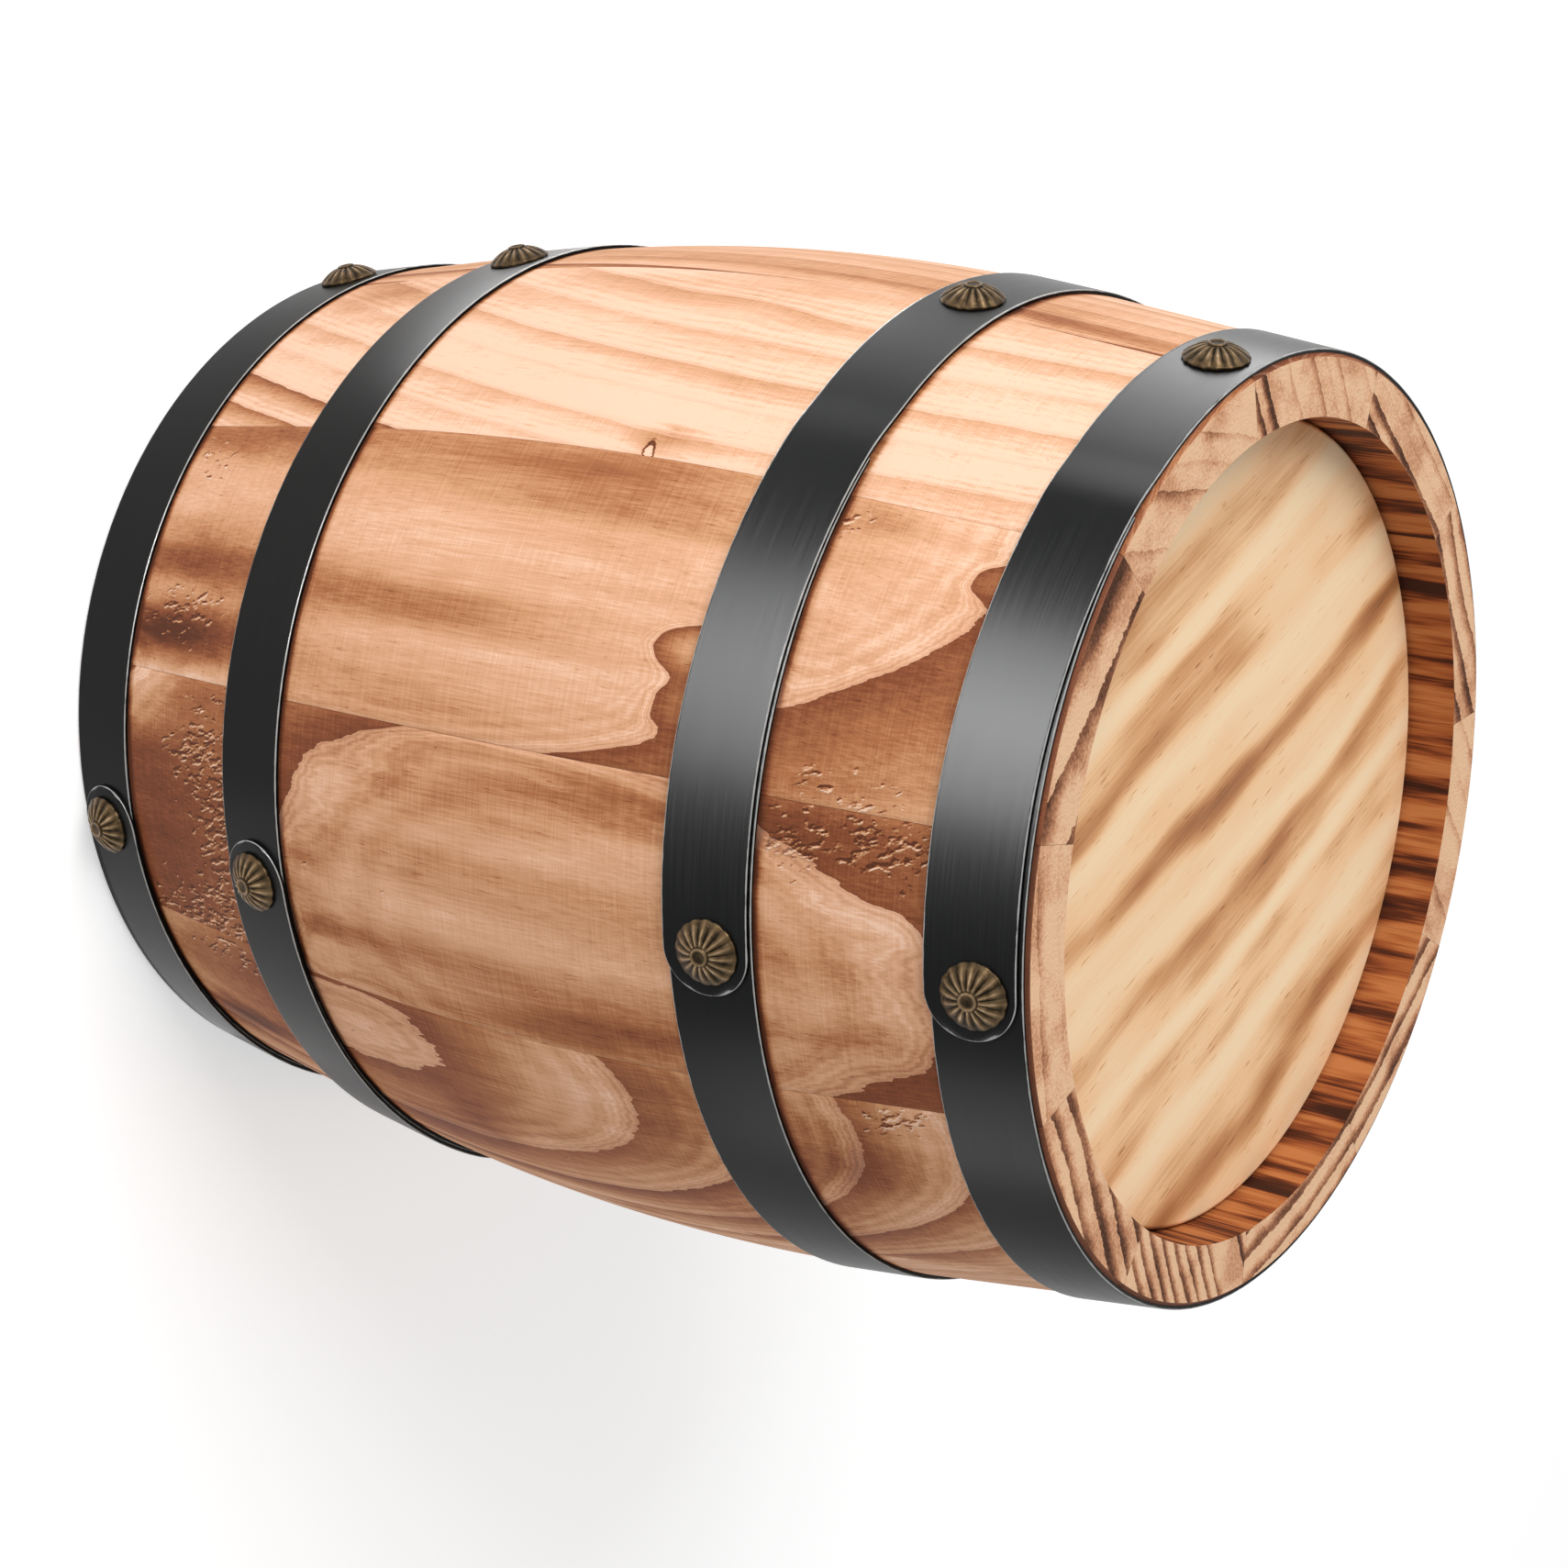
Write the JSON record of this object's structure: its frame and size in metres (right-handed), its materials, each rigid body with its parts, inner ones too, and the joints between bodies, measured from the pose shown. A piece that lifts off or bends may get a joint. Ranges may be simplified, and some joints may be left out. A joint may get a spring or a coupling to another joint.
{
  "type": "wooden firkin keg",
  "caption": "Small closed keg of torched pine staves with recessed board heads, black steel strap hoops and antique brass rosette nails.",
  "frame": {"origin": "on the keg's axis, at the height of the bottom end faces of the staves", "axes": "+Z along the keg's axis, out of the head that the picture shows; -Y through the lap nails of the top hoops; +X to the right of them"},
  "size_m": [0.2662, 0.2674, 0.3],
  "materials": {
    "torched_pine": "torched softwood, brushed and lightly sealed",
    "head_board": "lightly torched pale softwood, sanded",
    "hoop_steel": "satin black paint with bare edges",
    "nail_brass": "antique brass, dark in the flutes"
  },
  "bodies": {
    "root": {"stave_01": "torched_pine", "stave_02": "torched_pine", "stave_03": "torched_pine", "stave_04": "torched_pine", "stave_05": "torched_pine", "stave_06": "torched_pine", "stave_07": "torched_pine", "stave_08": "torched_pine", "stave_09": "torched_pine", "stave_10": "torched_pine", "stave_11": "torched_pine", "head_top": "head_board", "head_bottom": "head_board", "chime_hoop_top": "hoop_steel", "quarter_hoop_top": "hoop_steel", "quarter_hoop_bottom": "hoop_steel", "chime_hoop_bottom": "hoop_steel", "chime_nail_top_1": "nail_brass", "chime_nail_top_2": "nail_brass", "chime_nail_top_3": "nail_brass", "chime_nail_top_4": "nail_brass", "quarter_nail_top_1": "nail_brass", "quarter_nail_top_2": "nail_brass", "quarter_nail_top_3": "nail_brass", "quarter_nail_top_4": "nail_brass", "quarter_nail_bottom_1": "nail_brass", "quarter_nail_bottom_2": "nail_brass", "quarter_nail_bottom_3": "nail_brass", "quarter_nail_bottom_4": "nail_brass", "chime_nail_bottom_1": "nail_brass", "chime_nail_bottom_2": "nail_brass", "chime_nail_bottom_3": "nail_brass", "chime_nail_bottom_4": "nail_brass"}
  },
  "joints": []
}
